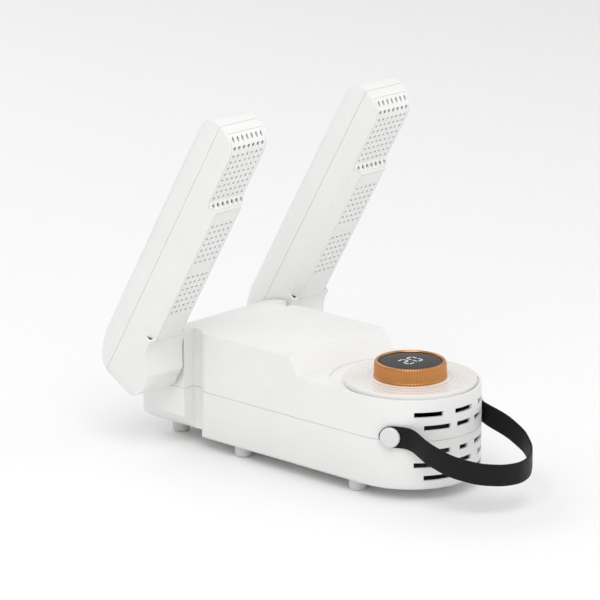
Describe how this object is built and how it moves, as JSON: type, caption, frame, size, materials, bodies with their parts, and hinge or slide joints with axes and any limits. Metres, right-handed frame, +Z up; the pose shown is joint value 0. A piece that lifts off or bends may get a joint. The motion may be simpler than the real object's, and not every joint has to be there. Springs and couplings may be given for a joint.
{
  "type": "boot dryer",
  "caption": "Warm-air boot and shoe dryer: a low base with a dial, fan and heater, folding hollow arms with outlet holes, and a carry strap.",
  "frame": {"origin": "on the floor, under the middle of the dryer's box with its arms up", "axes": "+Z up; the nose with the dial faces -Y, the arms' hinge axis runs along X at the rear"},
  "size_m": [0.224, 0.3786, 0.3108],
  "materials": {
    "shell_white": "satin moulded ABS",
    "dial_plate": "gloss",
    "knob_bronze": "bronze-coloured, ribbed",
    "display_glass": "polished dark window",
    "strap_leather": "fine grain",
    "foot_rubber": "matt",
    "stud_plastic": "satin",
    "inner_plastic": "matt heat-resistant",
    "plain_metal": "mill",
    "board": "solder mask"
  },
  "bodies": {
    "base": {"upper_shell": "shell_white", "lower_shell": "shell_white", "dial_plate": "dial_plate", "display_post": "inner_plastic", "display_lens": "display_glass", "fan_shroud": "inner_plastic", "fan_motor": "plain_metal", "heater_core": "plain_metal", "main_board": "board", "air_manifold": "inner_plastic", "power_inlet": "inner_plastic", "foot_front_left": "foot_rubber", "foot_middle_left": "foot_rubber", "foot_rear_left": "foot_rubber", "strap_tab_left": "strap_leather", "strap_stud_left": "stud_plastic", "hinge_seal_left": "foot_rubber", "foot_front_right": "foot_rubber", "foot_middle_right": "foot_rubber", "foot_rear_right": "foot_rubber", "strap_tab_right": "strap_leather", "strap_stud_right": "stud_plastic", "hinge_seal_right": "foot_rubber"},
    "knob": {"knob_ring": "knob_bronze"},
    "fan": {"fan_impeller": "inner_plastic"},
    "strap": {"handle_strap": "strap_leather"},
    "arm_left": {"arm_back_left": "shell_white", "arm_front_left": "shell_white", "outlet_strip_left": "shell_white", "outlet_head_left": "shell_white", "trunnion_left": "inner_plastic"},
    "arm_right": {"arm_back_right": "shell_white", "arm_front_right": "shell_white", "outlet_strip_right": "shell_white", "outlet_head_right": "shell_white", "trunnion_right": "inner_plastic"}
  },
  "joints": [
    {"name": "arm_fold_left", "type": "hinge", "parent": "base", "child": "arm_left", "pos_m": [-0.0895, 0.1593, 0.078], "axis": [1, 0, 0], "range_deg": [0, 59.8]},
    {"name": "arm_fold_right", "type": "hinge", "parent": "base", "child": "arm_right", "pos_m": [0.0895, 0.1593, 0.078], "axis": [1, 0, 0], "range_deg": [0, 59.8]},
    {"name": "knob_turn", "type": "hinge", "parent": "base", "child": "knob", "pos_m": [0, -0.0667, 0.1], "axis": [0, 0, 1], "continuous": true},
    {"name": "fan_spin", "type": "hinge", "parent": "base", "child": "fan", "pos_m": [0, -0.0667, 0.044], "axis": [0, 0, 1], "continuous": true},
    {"name": "strap_swing", "type": "hinge", "parent": "base", "child": "strap", "pos_m": [0, -0.1107, 0.0575], "axis": [-1, 0, 0], "range_deg": [0, 100]}
  ]
}
